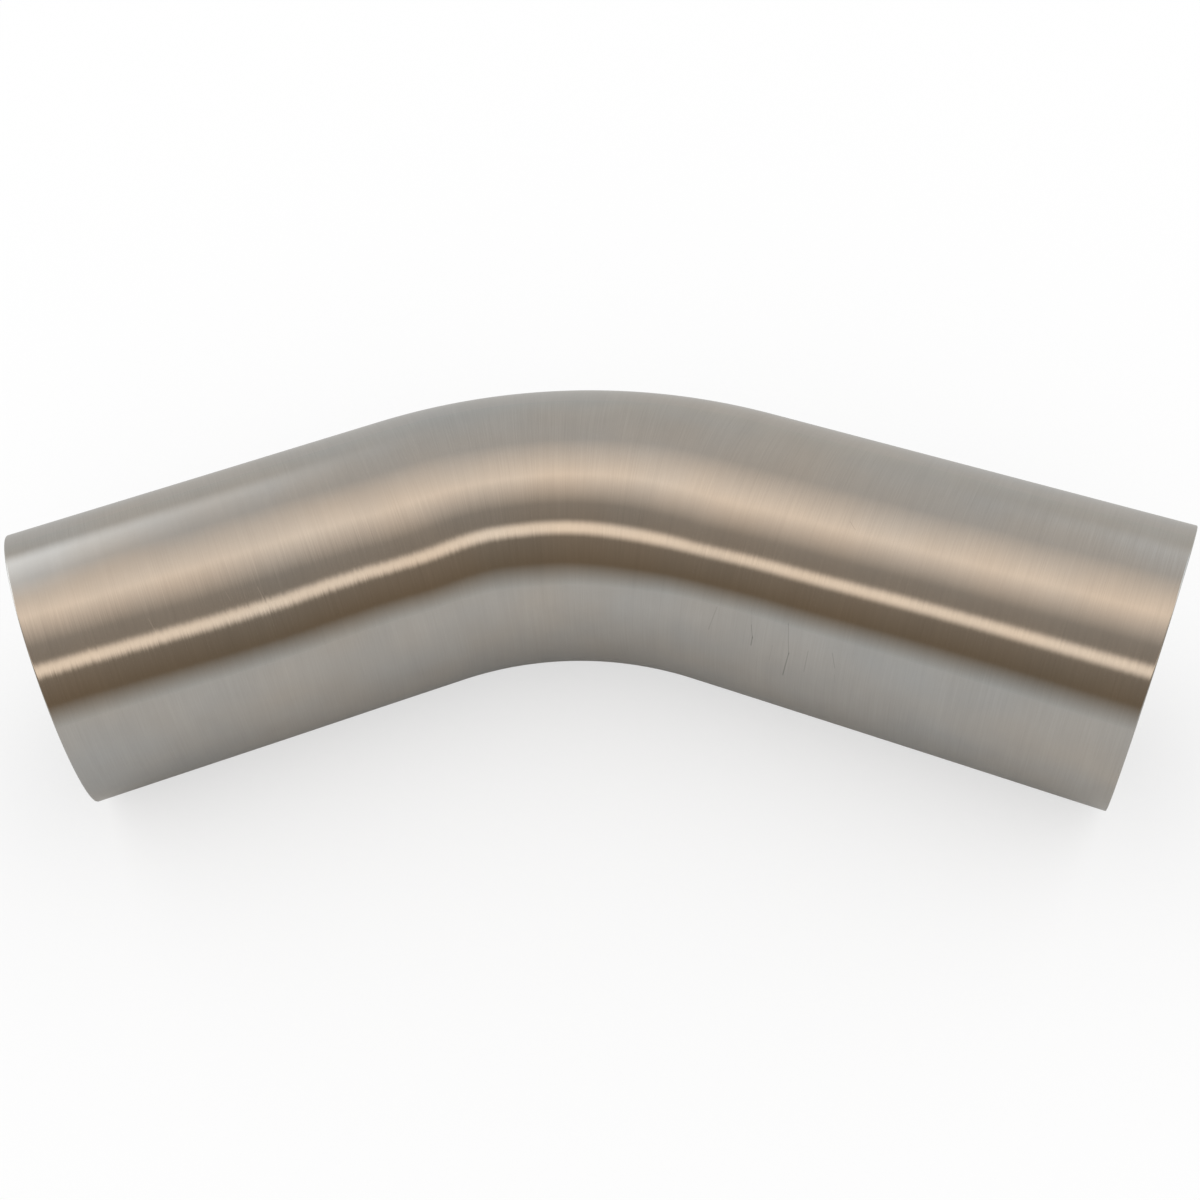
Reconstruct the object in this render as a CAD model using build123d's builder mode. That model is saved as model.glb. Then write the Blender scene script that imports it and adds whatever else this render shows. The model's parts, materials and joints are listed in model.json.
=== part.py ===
from build123d import *
from math import cos, degrees, radians, sin
import os

# Flue elbow: one length of welded stainless-steel tube, mandrel-bent through 45 degrees and
# cut square at both ends, with plain ends. It lies on its side: the bend plane is horizontal,
# the two legs open towards -Y, the back of the bend faces +Y and the tube rests on Z = 0.
# Millimetres throughout. The origin is under the middle of the part, on the surface it rests on.
#
# Two pieces of metal make it up:
#   tube_wall  the strip, rolled to a tube, with the open gap that its two edges leave
#   seam_weld  the weld metal that closes that gap over the whole length, flush outside,
#              with a low root bead inside

# ---- driving dimensions ----
tube_od = 76.2  # outside diameter, 3 in nominal
wall = 1.65  # wall thickness, 16 gauge
bend_angle = 45.0  # angle between the two legs' axes
bend_ratio = 1.5  # centreline radius of the bend over the outside diameter
inlet_leg = 105.0  # straight tube before the bend
outlet_leg = 114.0  # straight tube after the bend
deburr = 0.30  # 45 degree break on every cut edge

seam_face_width = 3.2  # weld metal at the outside surface, ground flush
seam_root_width = 2.0  # weld metal at the bore
seam_root_height = 0.15  # how far the root bead stands into the bore
seam_angle = -90.0  # the seam's place on the section: underneath, on the bend's neutral line

# ---- derived dimensions ----
r_out = tube_od / 2
r_in = r_out - wall
bend_radius = bend_ratio * tube_od
half_bend = radians(bend_angle / 2)

# The part's middle as seen from the bend's centre. In X only the legs' difference counts.
# In Y the low end is the longer leg's deburred inner corner, the high end the bend's back.
x_middle = (outlet_leg - inlet_leg) * cos(half_bend) / 2
y_low = (
    (bend_radius - r_out) * cos(half_bend)
    - (max(inlet_leg, outlet_leg) - deburr) * sin(half_bend)
)
y_high = bend_radius + r_out
bend_centre = Vector(-x_middle, -(y_low + y_high) / 2, r_out)

# ---- stations along the centreline ----
along_inlet = Vector(cos(half_bend), sin(half_bend), 0)
along_outlet = Vector(cos(half_bend), -sin(half_bend), 0)
out_at_inlet = Vector(-sin(half_bend), cos(half_bend), 0)
out_at_outlet = Vector(sin(half_bend), cos(half_bend), 0)
bend_start = bend_centre + out_at_inlet * bend_radius
bend_finish = bend_centre + out_at_outlet * bend_radius
inlet_end = bend_start - along_inlet * inlet_leg
outlet_end = bend_finish + along_outlet * outlet_leg

# In the first three planes Z runs downstream, X points away from the bend's centre and Y
# points up, so one drawing of a section serves at each. The outlet plane only places the
# deburring cutter, so its Z points back into the tube.
inlet_plane = Plane(origin=inlet_end, x_dir=out_at_inlet, z_dir=along_inlet)
bend_start_plane = Plane(origin=bend_start, x_dir=out_at_inlet, z_dir=along_inlet)
bend_finish_plane = Plane(origin=bend_finish, x_dir=out_at_outlet, z_dir=along_outlet)
outlet_plane = Plane(origin=outlet_end, x_dir=out_at_outlet, z_dir=-along_outlet)
bend_axis = Axis(bend_centre, (0, 0, -1))


# ---- sections ----
def section_point(radius, angle):
    """A point on the tube's section, by its radius and its angle in degrees."""
    return Vector(radius, 0).rotate(Axis.Z, angle)


with BuildSketch() as ring_section:
    Circle(r_out)
    Circle(r_in, mode=Mode.SUBTRACT)

# Half of the angle that the weld metal spans at the outside surface and at the bore.
face_half = degrees(seam_face_width / 2 / r_out)
root_half = degrees(seam_root_width / 2 / r_in)

face_left = section_point(r_out, seam_angle - face_half)
face_right = section_point(r_out, seam_angle + face_half)
root_left = section_point(r_in, seam_angle - root_half)
root_right = section_point(r_in, seam_angle + root_half)
root_crown = section_point(r_in - seam_root_height, seam_angle)

# The weld metal: flush with the outside, tapering sides, and a low crown in the bore.
with BuildSketch() as seam_section:
    with BuildLine():
        CenterArc((0, 0), r_out, seam_angle - face_half, 2 * face_half)
        Line(face_right, root_right)
        ThreePointArc(root_right, root_crown, root_left)
        Line(root_left, face_left)
    make_face()

# The gap in the strip: the same sides, run on past both faces of the wall.
overrun_left = (face_left - root_left) * 0.5
overrun_right = (face_right - root_right) * 0.5
with BuildSketch() as gap_section:
    with BuildLine():
        Polyline(
            face_left + overrun_left,
            root_left - overrun_left,
            root_right - overrun_right,
            face_right + overrun_right,
            close=True,
        )
    make_face()

# ---- deburring cutter ----
# Two rings about the leg's axis, each with a 45 degree face: one breaks the outside corner,
# one the bore's. The cut face lies at the cutter's Z = 0, with the tube above it.
with BuildPart() as deburr_cutter:
    with BuildSketch(Plane.XZ):
        Polygon(
            (r_out - deburr, 0),
            (r_out - deburr, -deburr),
            (r_out + deburr, -deburr),
            (r_out + deburr, 2 * deburr),
            align=None,
        )
        # This one reaches further into the bore, so that it takes in the root bead.
        Polygon(
            (r_in + deburr, 0),
            (r_in - 2 * deburr, 3 * deburr),
            (r_in - 2 * deburr, -deburr),
            (r_in + deburr, -deburr),
            align=None,
        )
    revolve(axis=Axis.Z)


# ---- pieces ----
def build_piece(label, passes):
    """Run each (section, mode) of passes along the centreline, then deburr both ends."""
    with BuildPart() as piece:
        for section, mode in passes:
            with BuildSketch(inlet_plane):
                add(section.sketch)
            extrude(amount=inlet_leg, mode=mode)
            with BuildSketch(bend_start_plane):
                add(section.sketch)
            revolve(axis=bend_axis, revolution_arc=bend_angle, mode=mode)
            with BuildSketch(bend_finish_plane):
                add(section.sketch)
            extrude(amount=outlet_leg, mode=mode)

        with Locations(inlet_plane, outlet_plane):
            add(deburr_cutter.part, mode=Mode.SUBTRACT)

    piece.part.label = label
    return piece.part


def build_tube_wall():
    """The ring of the tube, less the seam's gap."""
    return build_piece(
        "tube_wall", [(ring_section, Mode.ADD), (gap_section, Mode.SUBTRACT)]
    )


def build_seam_weld():
    """The weld metal over the same centreline."""
    return build_piece("seam_weld", [(seam_section, Mode.ADD)])


os.makedirs("parts", exist_ok=True)
for part in (build_tube_wall(), build_seam_weld()):
    export_step(part, f"parts/{part.label}.step")
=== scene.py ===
"""Flue elbow: a bent stainless tube, lying flat with its bend in the XY plane and +Z up.

The tube wall and its seam weld are rebuilt as fine meshes on the CAD's centreline, with the
slight waves that mandrel bending leaves, broken edges, a bore and a weld root bead.
Metres. A place on the tube is (s, phi): s runs along the centreline from the inlet's cut end,
phi goes round the section, 0 on the side away from the bend's centre and 90 degrees on top.
"""
import json
from math import atan2, cos, degrees, exp, hypot, pi, radians, sin, tan

import bmesh
import bpy
from mathutils import Matrix, Vector, noise


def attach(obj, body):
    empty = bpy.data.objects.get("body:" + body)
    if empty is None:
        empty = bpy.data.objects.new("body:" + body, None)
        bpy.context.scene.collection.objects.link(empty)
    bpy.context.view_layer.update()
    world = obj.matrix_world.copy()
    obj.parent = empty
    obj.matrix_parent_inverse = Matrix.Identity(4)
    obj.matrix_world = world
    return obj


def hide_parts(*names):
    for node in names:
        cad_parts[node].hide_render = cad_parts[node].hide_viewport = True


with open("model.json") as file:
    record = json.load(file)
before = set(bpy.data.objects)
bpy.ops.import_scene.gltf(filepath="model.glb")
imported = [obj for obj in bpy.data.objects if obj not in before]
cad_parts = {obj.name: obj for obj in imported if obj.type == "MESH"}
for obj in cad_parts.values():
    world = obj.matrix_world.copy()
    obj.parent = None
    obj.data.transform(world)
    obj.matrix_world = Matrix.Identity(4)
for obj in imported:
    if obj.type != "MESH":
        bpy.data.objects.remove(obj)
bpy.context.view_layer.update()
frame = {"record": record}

mounts = {m["name"]: m for m in frame["record"]["mounts"]}

# ---------------------------------------------------------------- centreline, from the mounts
UP = Vector((0, 0, 1))
R_OUT = mounts["inlet_spigot"]["dims"]["r_mm"] / 1000
R_IN = mounts["inlet_bore"]["dims"]["r_mm"] / 1000
WALL = R_OUT - R_IN


def tube_end(name):
    """The way out of the tube at one end, and the middle of that end's cut face."""
    spigot = mounts[name + "_spigot"]
    outward = Vector(spigot["axis"]).normalized()
    middle = Vector(spigot["pos_m"])
    face = Vector(mounts[name + "_face"]["pos_m"])
    return outward, middle + outward * (face - middle).dot(outward)


inlet_out, inlet_end = tube_end("inlet")
outlet_out, outlet_end = tube_end("outlet")

BEND_R = 1.5 * 2 * R_OUT  # the centreline's radius is one and a half tube diameters
HALF_BEND = (pi - inlet_out.angle(outlet_out)) / 2
# the legs' axes meet at a corner, and the bend is tangent to both of them
base = (outlet_end - inlet_end).length
inlet_angle = inlet_out.angle(inlet_end - outlet_end)
outlet_angle = outlet_out.angle(outlet_end - inlet_end)
to_corner = base * sin(outlet_angle) / sin(pi - inlet_angle - outlet_angle)
corner = inlet_end - inlet_out * to_corner
L_IN = (corner - inlet_end).length - BEND_R * tan(HALF_BEND)
L_OUT = (corner - outlet_end).length - BEND_R * tan(HALF_BEND)
ARC = BEND_R * 2 * HALF_BEND
TOTAL = L_IN + ARC + L_OUT
toward_centre = (UP.cross(inlet_out)).normalized()
if toward_centre.dot(outlet_end - corner) < 0:
    toward_centre.negate()
bend_centre = inlet_end - inlet_out * L_IN + toward_centre * BEND_R
MID_ANGLE = atan2(corner.x - bend_centre.x, corner.y - bend_centre.y)


def place(s, phi, r):
    """The point at (s, phi), r from the centreline."""
    turn = min(max((s - L_IN) / BEND_R - HALF_BEND, -HALF_BEND), HALF_BEND) + MID_ANGLE
    past = s - L_IN if s < L_IN else max(s - L_IN - ARC, 0.0)
    out = Vector((sin(turn), cos(turn), 0))
    along = Vector((cos(turn), -sin(turn), 0))
    centre = bend_centre + out * BEND_R + along * past
    return centre + (out * cos(phi) + UP * sin(phi)) * r


# The slight waves left in the wall by the bending die and by handling. Each one: its middle
# round the section and its width, in degrees, and its turning points as (mm from the inlet,
# how far the skin leans round the section at that middle, in degrees).
WAVES = [
    (142.0, 30.0, [
        (0, 1.2), (60, -0.9), (88, 0.1), (99, -0.4), (123, 0.3), (140, -0.4), (173, -1.3),
        (215, 1.0), (258, 1.6), (309, 1.0),
    ]),
    (170.0, 17.0, [(0, 0.5), (115, -0.2), (180, 0.5), (309, -0.9)]),
]


def wave_leans(s):
    """Each wave's lean at s, in radians, eased between its turning points."""
    x = s * 1000
    leans = []
    for _, _, points in WAVES:
        k = 0
        while k < len(points) - 2 and x > points[k + 1][0]:
            k += 1
        (x0, y0), (x1, y1) = points[k], points[k + 1]
        part = min(max((x - x0) / (x1 - x0), 0.0), 1.0)
        leans.append(radians(y0 + (y1 - y0) * part * part * (3 - 2 * part)))
    return leans


def swell(phi, leans):
    """How far the wall stands off the true tube, in metres, at phi in degrees."""
    height = 0.0
    for (middle, width, _), lean in zip(WAVES, leans):
        x = (phi % 360 - middle) / width
        if abs(x) < 4:
            height -= R_OUT * lean * radians(width) * x * exp(-x * x / 2)
    return height


# ---------------------------------------------------------------- meshes
DEBURR = 0.0003  # radius of the broken edges
EDGE_RING = 0.00012  # from a broken edge to the extra ring beside it
SEAM = -pi / 2  # the seam runs along the underside
FACE_HALF = 0.0032 / 2 / R_OUT  # half-angle of the weld metal at the outside
ROOT_HALF = 0.0020 / 2 / R_IN  # and at the bore
AROUND = 192  # faces round the wall
QUARTER_STEPS = 4  # faces round a broken edge
SLOTS = {"skin": 0, "rim": 1, "bore": 2}

WELD_STEP = 0.0008
CROWN = 0.00015  # height of the root bead
RIPPLE_PITCH = 0.0024
# the weld's points across the outside and the bore, in half-widths
FACE_POINTS = [-1, -0.6, -0.2, 0.2, 0.6, 1]
ROOT_POINTS = [1, 0.75, 0.45, 0.15, -0.15, -0.45, -0.75, -1]


def start_mesh():
    bm = bmesh.new()
    return bm, bm.loops.layers.uv.new("along_around")


def add_point(bm, s, phi, r):
    return bm.verts.new(place(s, phi, r)), s, phi


def add_face(bm, uv, points, slot=0, smooth=False):
    """A face through points from add_point, with its UVs in metres along and round."""
    face = bm.faces.new([point[0] for point in points])
    face.smooth = smooth
    face.material_index = slot
    for loop, (_, s, phi) in zip(face.loops, points):
        loop[uv].uv = (s, phi * R_OUT)


def add_piece(bm, name, replaced):
    """Make the finished mesh an object that stands in for a CAD piece."""
    bmesh.ops.recalc_face_normals(bm, faces=bm.faces)
    mesh = bpy.data.meshes.new(name)
    bm.to_mesh(mesh)
    bm.free()
    piece = bpy.data.objects.new(name, mesh)
    bpy.context.scene.collection.objects.link(piece)
    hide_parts(replaced)
    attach(piece, "root")
    return mesh


def lengthwise(leg_step, bend_step):
    """Stations along the tube between the broken edges, closer together in the bend."""
    got = []
    for low, high, step in (
        (DEBURR, L_IN, leg_step),
        (L_IN, L_IN + ARC, bend_step),
        (L_IN + ARC, TOTAL - DEBURR, leg_step),
    ):
        n = max(2, round((high - low) / step))
        got += [low + (high - low) * k / n for k in range(n)]
    # the extra rings keep the shading straight up to the ends
    last = [TOTAL - DEBURR - EDGE_RING, TOTAL - DEBURR]
    return got[:1] + [DEBURR + EDGE_RING] + got[1:] + last


def wall_outline():
    """The wall's closed outline as (s, depth below the outer skin, side): the outer skin, the
    outlet's rim, the bore back to the inlet, and the inlet's rim."""
    angles = [pi / 2 * k / QUARTER_STEPS for k in range(1, QUARTER_STEPS + 1)]
    quarter = [(DEBURR * sin(t), DEBURR * (1 - cos(t))) for t in angles]
    line = [(s, 0.0, "skin") for s in lengthwise(0.0016, 0.0012)]
    line += [(TOTAL - DEBURR + run, drop, "rim") for run, drop in quarter]
    line += [(TOTAL, WALL - DEBURR, "rim")]
    line += [(TOTAL - drop, WALL - DEBURR + run, "rim") for run, drop in quarter[:-1]]
    line += [(s, WALL, "bore") for s in reversed(lengthwise(0.0045, 0.0035))]
    line += [(DEBURR - run, WALL - drop, "rim") for run, drop in quarter]
    line += [(0.0, DEBURR, "rim")]
    line += [(drop, DEBURR - run, "rim") for run, drop in quarter[:-1]]
    return line


def build_wall():
    """The tube wall: the strip from one side of the seam round to the other, as a closed solid."""
    bm, uv = start_mesh()
    outline = wall_outline()
    rings = []
    for s, depth, _ in outline:
        gap = FACE_HALF + (ROOT_HALF - FACE_HALF) * depth / WALL
        leans = wave_leans(s)
        ring = []
        for k in range(AROUND + 1):
            phi = SEAM + gap + (2 * pi - 2 * gap) * k / AROUND
            ring.append(add_point(bm, s, phi, R_OUT - depth + swell(degrees(phi), leans)))
        rings.append(ring)
    for i, here in enumerate(rings):
        after = (i + 1) % len(rings)
        there = rings[after]
        sides = (outline[i][2], outline[after][2])
        slot = SLOTS["rim" if "rim" in sides else sides[0]]
        for k in range(AROUND):
            add_face(bm, uv, (here[k], here[k + 1], there[k + 1], there[k]), slot, smooth=True)
    # the strip's two edges, along the seam
    add_face(bm, uv, [ring[0] for ring in reversed(rings)], SLOTS["rim"])
    add_face(bm, uv, [ring[AROUND] for ring in rings], SLOTS["rim"])
    return add_piece(bm, "tube_wall_skin", "tube_wall")


def build_weld():
    """The seam weld: a closed strip filling the wall's gap, dressed flush outside, with a low
    rippled crown along the bore."""
    bm, uv = start_mesh()
    count = round(TOTAL / WELD_STEP)
    rings = []
    for i in range(count + 1):
        s = TOTAL * i / count
        at_end = i in (0, count)
        inset = DEBURR if at_end else 0.0
        ripple = 0.75 + 0.25 * cos(2 * pi * s / RIPPLE_PITCH)
        ripple += 0.15 * noise.noise(Vector((s * 260, 0, 0)))
        ring = [add_point(bm, s, SEAM + x * FACE_HALF, R_OUT - inset) for x in FACE_POINTS]
        for x in ROOT_POINTS:
            crown = 0.0 if at_end else CROWN * ripple * max(0.0, 1 - x * x)
            ring.append(add_point(bm, s, SEAM + x * ROOT_HALF, R_IN + inset - crown))
        rings.append(ring)
    is_root = [False] * len(FACE_POINTS) + [True] * len(ROOT_POINTS)
    for here, there in zip(rings, rings[1:]):
        for k in range(len(is_root)):
            j = (k + 1) % len(is_root)
            same = is_root[k] == is_root[j]
            slot = 1 if is_root[k] and same else 0
            add_face(bm, uv, (here[k], here[j], there[j], there[k]), slot, smooth=same)
    add_face(bm, uv, rings[0])
    add_face(bm, uv, rings[-1][::-1])
    return add_piece(bm, "seam_weld_bead", "seam_weld")


wall_mesh = build_wall()
weld_mesh = build_weld()


# ---------------------------------------------------------------- shader nodes
class Nodes:
    """Builds the node tree of a material or world from empty."""

    def __init__(self, owner):
        owner.use_nodes = True
        self.tree = owner.node_tree
        self.tree.nodes.clear()

    def add(self, kind, inputs=None, **settings):
        """A node; an input may be a value or another node's output."""
        node = self.tree.nodes.new(kind)
        for key, value in settings.items():
            setattr(node, key, value)
        for key, value in (inputs or {}).items():
            if isinstance(value, bpy.types.NodeSocket):
                self.tree.links.new(value, node.inputs[key])
            else:
                node.inputs[key].default_value = value
        return node

    def math(self, op, a, b=0.0, c=0.0):
        return self.add("ShaderNodeMath", {0: a, 1: b, 2: c}, operation=op).outputs[0]

    def centred(self, value):
        return self.math("SUBTRACT", value, 0.5)

    def vary(self, value, amount, middle):
        """middle, moved by amount times a noise value centred on 0."""
        return self.math("MULTIPLY_ADD", self.centred(value), amount, middle)

    def vector(self, op, a, b=None):
        inputs = {0: a}
        if b is not None:
            inputs["Scale" if op == "SCALE" else 1] = b
        return self.add("ShaderNodeVectorMath", inputs, operation=op).outputs[0]

    def fade(self, value, low, high, start=0.0, end=1.0):
        """From start to end, smoothly, as value goes from low to high."""
        return self.add(
            "ShaderNodeMapRange",
            {0: value, 1: low, 2: high, 3: start, 4: end},
            interpolation_type="SMOOTHSTEP",
            clamp=True,
        ).outputs[0]

    def mix(self, factor, a, b):
        """Colour a at factor 0, b at factor 1."""
        colours = {0: factor, 6: a, 7: b}
        return self.add("ShaderNodeMix", colours, data_type="RGBA").outputs[2]


# ---------------------------------------------------------------- steel
HEAVY_FADE = (0.085, 0.125)  # where along the tube the heavier inlet brushing fades out
TONE_DRIFT = 0.09  # how far red and blue drift, opposite ways
MARK_TAPER = 0.4  # below 1, a mark runs on past its ends


def mark_tone(nodes, u, v, mark):
    """What one fine mark adds to the brightness at (u, v)."""
    s0, phi0, s1, phi1, width, depth = mark
    x0, y0 = s0 / 1000, radians(phi0) * R_OUT
    x1, y1 = s1 / 1000, radians(phi1) * R_OUT
    length = hypot(x1 - x0, y1 - y0)
    way_x, way_y = (x1 - x0) / length, (y1 - y0) / length
    math = nodes.math
    dx, dy = math("SUBTRACT", u, x0), math("SUBTRACT", v, y0)
    along = math("MULTIPLY_ADD", dx, way_x, math("MULTIPLY", dy, way_y))
    off = math("SUBTRACT", math("MULTIPLY", dx, way_y), math("MULTIPLY", dy, way_x))
    off = math("ABSOLUTE", off)
    beyond = math("MAXIMUM", math("SUBTRACT", along, length), math("MULTIPLY", along, -1.0))
    far = math("MAXIMUM", off, math("MULTIPLY", beyond, MARK_TAPER))
    return nodes.fade(far, 0.0, width / 1000, start=depth, end=0.0)


def steel_material(
    name, tint, rough, grain, across, hair,
    marks=(), shade=0.05, aniso=0.87, lengthwise_brush=False, coarser=0.0,
):
    """Brushed stainless. Its brush lines run round the section, or along the tube when
    lengthwise_brush is set. grain and across are the lines' lean along and across the tube's
    axis, in radians; hair is their pitch in metres. shade is how much the brightness varies.
    coarser is how much heavier the brushing is near the inlet."""
    made = bpy.data.materials.new(name)
    nodes = Nodes(made)
    add, math, vary, vector = nodes.add, nodes.math, nodes.vary, nodes.vector

    uv = add("ShaderNodeUVMap", uv_map="along_around")
    parts = add("ShaderNodeSeparateXYZ", {0: uv.outputs[0]})
    u, v = parts.outputs[0], parts.outputs[1]
    fine, long = (v, u) if lengthwise_brush else (u, v)

    def streaks(pitch, length, seed, detail):
        """Noise drawn out along the brush lines; pitch and length in metres."""
        at = add("ShaderNodeCombineXYZ", {
            0: math("MULTIPLY", fine, 1 / pitch),
            1: math("MULTIPLY", long, 1 / length),
            2: seed,
        })
        return add(
            "ShaderNodeTexNoise",
            {"Vector": at.outputs[0], "Scale": 1.0, "Detail": detail, "Roughness": 0.6},
            noise_dimensions="3D",
        ).outputs[0]

    hairs = streaks(pitch=hair, length=0.016, seed=1.7, detail=2.0)
    tufts = streaks(pitch=hair * 2.6, length=0.009, seed=8.3, detail=2.0)
    bands = streaks(pitch=hair * 14, length=0.06, seed=4.1, detail=3.0)
    clouds = streaks(pitch=0.022, length=0.015, seed=12.9, detail=3.0)

    # the brush lines tilt the normal
    tangent = add("ShaderNodeTangent", direction_type="UV_MAP", uv_map="along_around").outputs[0]
    surface = add("ShaderNodeNewGeometry").outputs["Normal"]
    sideways = vector("CROSS_PRODUCT", surface, tangent)
    heavy = nodes.fade(u, *HEAVY_FADE, start=1.0 + coarser, end=1.0)
    lean_along = math("MULTIPLY", nodes.centred(hairs), grain)
    lean_across = math("ADD", nodes.centred(tufts), nodes.centred(hairs))
    lean_across = math("MULTIPLY", math("MULTIPLY", lean_across, across), heavy)
    push = vector("SCALE", tangent, lean_along)
    pull = vector("SCALE", sideways, lean_across)
    normal = vector("NORMALIZE", vector("ADD", surface, vector("ADD", push, pull)))

    # brightness: fine hairs, broader passes of the belt, and faint clouding
    shading = vary(hairs, amount=2 * shade, middle=1.0)
    shading = vary(bands, amount=1.2 * shade, middle=shading)
    shading = vary(clouds, amount=1.6 * shade, middle=shading)
    rough_spread = rough * 0.3
    roughness = vary(tufts, amount=rough_spread, middle=rough)
    roughness = vary(clouds, amount=rough_spread, middle=roughness)
    for mark in marks:
        shading = math("ADD", shading, mark_tone(nodes, u, v, mark))
    # the tone drifts slightly between warm and cool in soft patches
    drift = streaks(pitch=0.045, length=0.028, seed=31.4, detail=2.0)
    warmth = add("ShaderNodeCombineXYZ", {
        0: vary(drift, amount=TONE_DRIFT, middle=tint[0]),
        1: tint[1],
        2: vary(drift, amount=-TONE_DRIFT, middle=tint[2]),
    })
    shader = add("ShaderNodeBsdfPrincipled", {
        "Base Color": vector("SCALE", warmth.outputs[0], shading),
        "Metallic": 1.0,
        "Roughness": roughness,
        "Anisotropic": aniso,
        "Anisotropic Rotation": 0.25 if lengthwise_brush else 0.0,
        "Tangent": tangent,
        "Normal": normal,
    })
    add("ShaderNodeOutputMaterial", {"Surface": shader.outputs[0]})
    return made


# fine marks on the skin: from (s mm, phi deg) to (s mm, phi deg), width in mm, dark < 0 < bright
MARKS = [
    (203.5, 153.9, 202.2, 164.6, 0.14, -0.22),
    (212.4, 150.8, 213.2, 157.4, 0.12, -0.12),
    (213.2, 157.4, 214.0, 162.5, 0.16, -0.30),
    (214.0, 162.5, 213.9, 166.0, 0.22, -0.40),
    (222.5, 151.9, 224.0, 164.8, 0.15, -0.28),
    (224.0, 164.8, 223.2, 176.6, 0.20, -0.42),
    (228.8, 161.1, 228.6, 171.2, 0.14, -0.24),
    (235.0, 158.8, 236.2, 164.6, 0.15, -0.26),
    (236.5, 168.5, 237.0, 172.5, 0.12, -0.12),
    (219.5, 163.4, 219.2, 170.8, 0.12, -0.12),
    (230.0, 107.4, 231.8, 109.9, 0.14, -0.15),
    (30.5, 124.4, 31.0, 128.6, 0.14, 0.28),
    (50.8, 123.5, 51.2, 126.9, 0.12, 0.22),
    (58.8, 125.7, 59.2, 130.0, 0.16, 0.30),
]
# each mesh's materials, in slot order
wall_mesh.materials.append(steel_material(
    "cross_brushed_stainless", tint=(0.60, 0.575, 0.545), rough=0.105, grain=0.06,
    across=0.009, hair=0.00026, marks=MARKS, shade=0.085, aniso=0.94, coarser=0.7,
))
wall_mesh.materials.append(steel_material(
    "filed_rim", tint=(0.62, 0.60, 0.57), rough=0.30, grain=0.06,
    across=0.03, hair=0.00025, aniso=0.6,
))
wall_mesh.materials.append(steel_material(
    "drawn_bore", tint=(0.66, 0.64, 0.61), rough=0.34, grain=0.05,
    across=0.05, hair=0.0006, shade=0.12, aniso=0.6, lengthwise_brush=True,
))
weld_mesh.materials.append(steel_material(
    "dressed_weld", tint=(0.57, 0.545, 0.51), rough=0.27, grain=0.12,
    across=0.03, hair=0.00028, shade=0.12,
))
weld_mesh.materials.append(steel_material(
    "weld_root", tint=(0.52, 0.45, 0.34), rough=0.38, grain=0.05,
    across=0.05, hair=0.0008, shade=0.22, aniso=0.2,
))

# ---------------------------------------------------------------- floor
FLOOR_HALF = 200.0
FLOOR_GLOW = 0.6  # how much of the floor the camera sees as plain light
FLOOR_MIRRORED = (0.55, 0.54, 0.52, 1)
FLOOR_SEEN = (0.97, 0.97, 0.97, 1)


def floor_material():
    """To the camera a lit sweep, so its shadows stay faint; the metal mirrors a light grey."""
    made = bpy.data.materials.new("pale_floor")
    nodes = Nodes(made)
    add = nodes.add
    camera_ray = add("ShaderNodeLightPath").outputs["Is Camera Ray"]
    tone = nodes.mix(camera_ray, FLOOR_MIRRORED, FLOOR_SEEN)
    matt = add("ShaderNodeBsdfDiffuse", {"Color": tone})
    lit = add("ShaderNodeEmission", {"Color": (1.0, 1.0, 1.0, 1), "Strength": 1.0})
    glow = add("ShaderNodeMath", {0: camera_ray, 1: FLOOR_GLOW}, operation="MULTIPLY")
    surface = add("ShaderNodeMixShader", {
        0: glow.outputs[0], 1: matt.outputs[0], 2: lit.outputs[0],
    })
    add("ShaderNodeOutputMaterial", {"Surface": surface.outputs[0]})
    return made


floor_mesh = bpy.data.meshes.new("floor")
floor_corners = [(x * FLOOR_HALF, y * FLOOR_HALF, 0) for x, y in ((-1, -1), (1, -1), (1, 1), (-1, 1))]
floor_mesh.from_pydata(floor_corners, [], [(0, 1, 2, 3)])
floor = bpy.data.objects.new("floor", floor_mesh)
bpy.context.scene.collection.objects.link(floor)
floor_mesh.materials.append(floor_material())

# ---------------------------------------------------------------- light
# The light is a plain soft studio: an even pale surround, and, for what the metal mirrors, a
# warm grey room that brightens to a broad softbox overhead and dims towards the camera's side,
# with a softbox at each end and one strip light. Directions are (angle, x): the angle turns
# about X from the horizon behind the tube at 0, over the top at 90, to the front at 180.
SURROUND = (1.03, 1.03, 1.03, 1)
ROOM = [  # angle, tone
    (0, (0.55, 0.55, 0.53)),
    (55, (0.55, 0.52, 0.48)),
    (88, (1.10, 0.92, 0.75)),
    (112, (0.35, 0.30, 0.25)),
    (160, (0.20, 0.15, 0.10)),
    (180, (0.55, 0.55, 0.53)),
]
SOFTBOXES = [  # x from, x to, softness, angle from, angle to, softness, tone
    (-1.5, -0.5, 0.6, 25, 75, 20, (1.9, 2.0, 2.1)),  # left
    (0.5, 1.5, 0.6, 25, 75, 20, (1.1, 1.2, 1.3)),  # right
    (-0.6, 0.5, 0.2, 127, 136, 7, (1.2, 1.0, 0.8)),  # strip light
]
ROOM_LOW, ROOM_HIGH = -90.0, 270.0  # the angles at the ramp's ends


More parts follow.
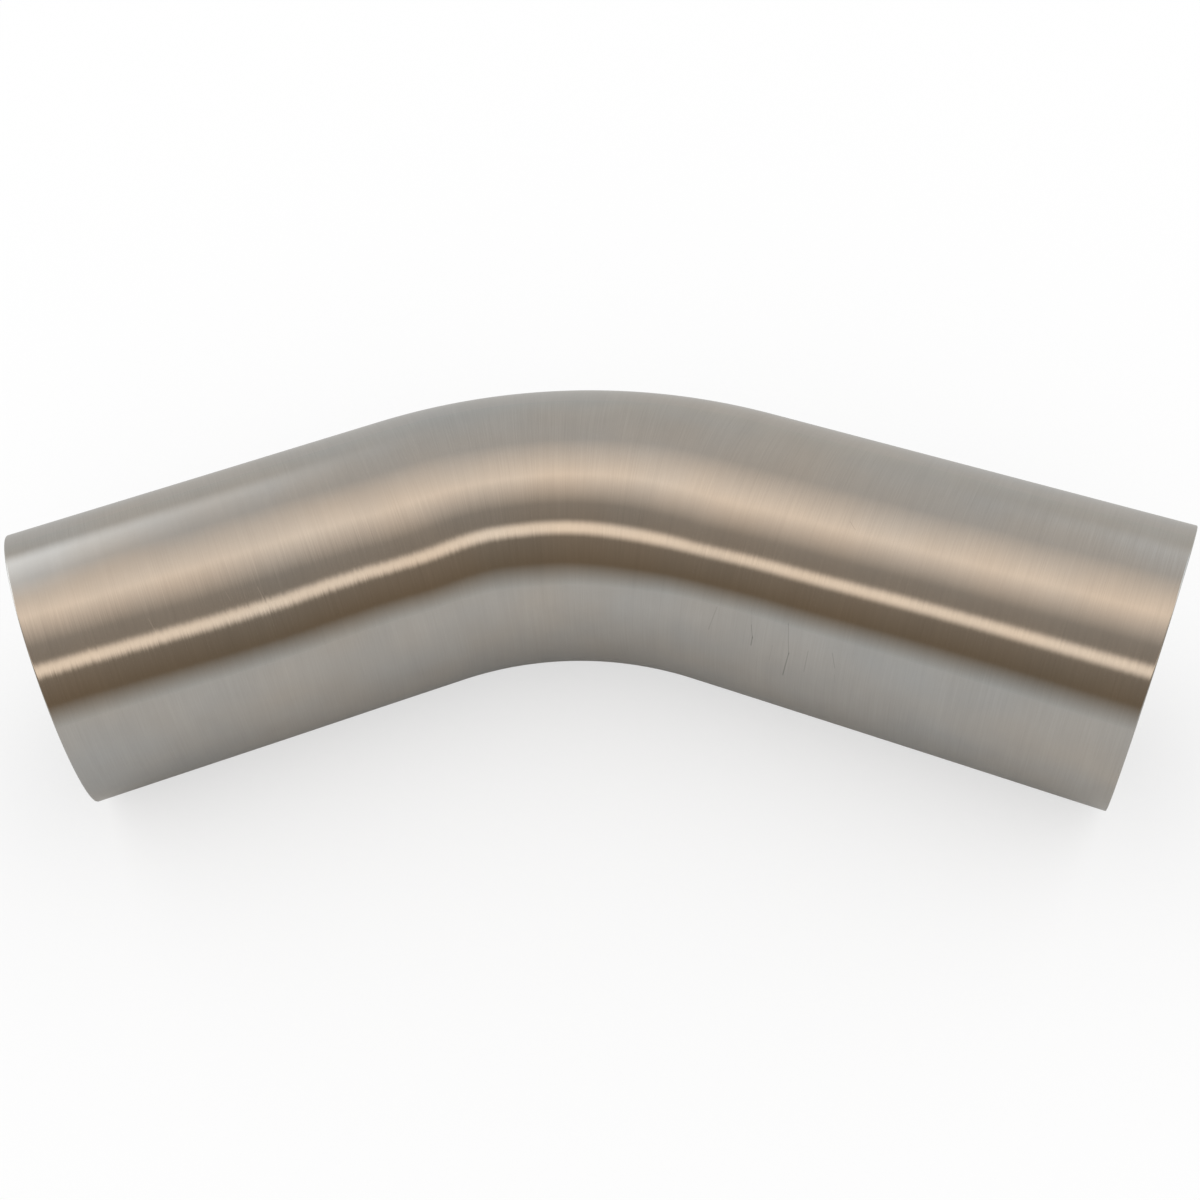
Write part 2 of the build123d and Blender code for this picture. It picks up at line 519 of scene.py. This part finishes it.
def build_world():
    world = bpy.data.worlds.new("studio")
    bpy.context.scene.world = world
    nodes = Nodes(world)
    world.cycles.sampling_method = "NONE"
    add, math, fade = nodes.add, nodes.math, nodes.fade

    coord = add("ShaderNodeTexCoord")
    xyz = add("ShaderNodeSeparateXYZ", {0: coord.outputs["Generated"]}).outputs
    turn = math("MULTIPLY", math("ARCTAN2", xyz["Z"], xyz["Y"]), 180 / pi)
    angle = math("ADD", turn, math("MULTIPLY", math("LESS_THAN", turn, ROOM_LOW), 360.0))
    along_ramp = math("MULTIPLY", math("SUBTRACT", angle, ROOM_LOW), 1 / (ROOM_HIGH - ROOM_LOW))
    ramp = add("ShaderNodeValToRGB", {0: along_ramp})
    stops = ramp.color_ramp.elements
    stops[0].color = (*ROOM[0][1], 1)
    stops[1].color = (*ROOM[-1][1], 1)
    for degree, tone in ROOM:
        stops.new((degree - ROOM_LOW) / (ROOM_HIGH - ROOM_LOW)).color = (*tone, 1)

    mirrored = ramp.outputs[0]
    for x0, x1, x_soft, low, high, soft, tone in SOFTBOXES:
        rise = fade(angle, low - soft / 2, low + soft / 2)
        fall = fade(angle, high - soft / 2, high + soft / 2, start=1.0, end=0.0)
        mask = math("MULTIPLY", rise, fall)
        rise = fade(xyz["X"], x0 - x_soft / 2, x0 + x_soft / 2)
        mask = math("MULTIPLY", mask, rise)
        fall = fade(xyz["X"], x1 - x_soft / 2, x1 + x_soft / 2, start=1.0, end=0.0)
        mask = math("MULTIPLY", mask, fall)
        mirrored = nodes.mix(mask, mirrored, (*tone, 1))
    path = add("ShaderNodeLightPath")
    room = nodes.mix(path.outputs["Is Glossy Ray"], SURROUND, mirrored)
    background = add("ShaderNodeBackground", {0: room})
    add("ShaderNodeOutputWorld", {0: background.outputs[0]})


build_world()

# ---------------------------------------------------------------- camera
CAMERA_AT = (0.0267105, -0.2868824, 0.3861342)
# the view's own directions
VIEW_RIGHT = Vector((0.9961863, 0.0447282, -0.0749152))
VIEW_DOWN = Vector((-0.0115886, -0.7831736, -0.6216951))
VIEW_AHEAD = Vector((-0.0864789, 0.6201923, -0.7796684))

cam_data = bpy.data.cameras.new("camera")
cam = bpy.data.objects.new("camera", cam_data)
bpy.context.scene.collection.objects.link(cam)
cam_data.sensor_fit = "HORIZONTAL"
cam_data.sensor_width = 36.0
cam_data.lens = 49.5047
cam_data.shift_x = 0.0472555
cam_data.shift_y = 0.0187678
rotation = Matrix((VIEW_RIGHT, -VIEW_DOWN, -VIEW_AHEAD)).transposed().to_4x4()
cam.matrix_world = Matrix.Translation(CAMERA_AT) @ rotation
bpy.context.scene.camera = cam
bpy.context.scene.view_settings.view_transform = "Standard"
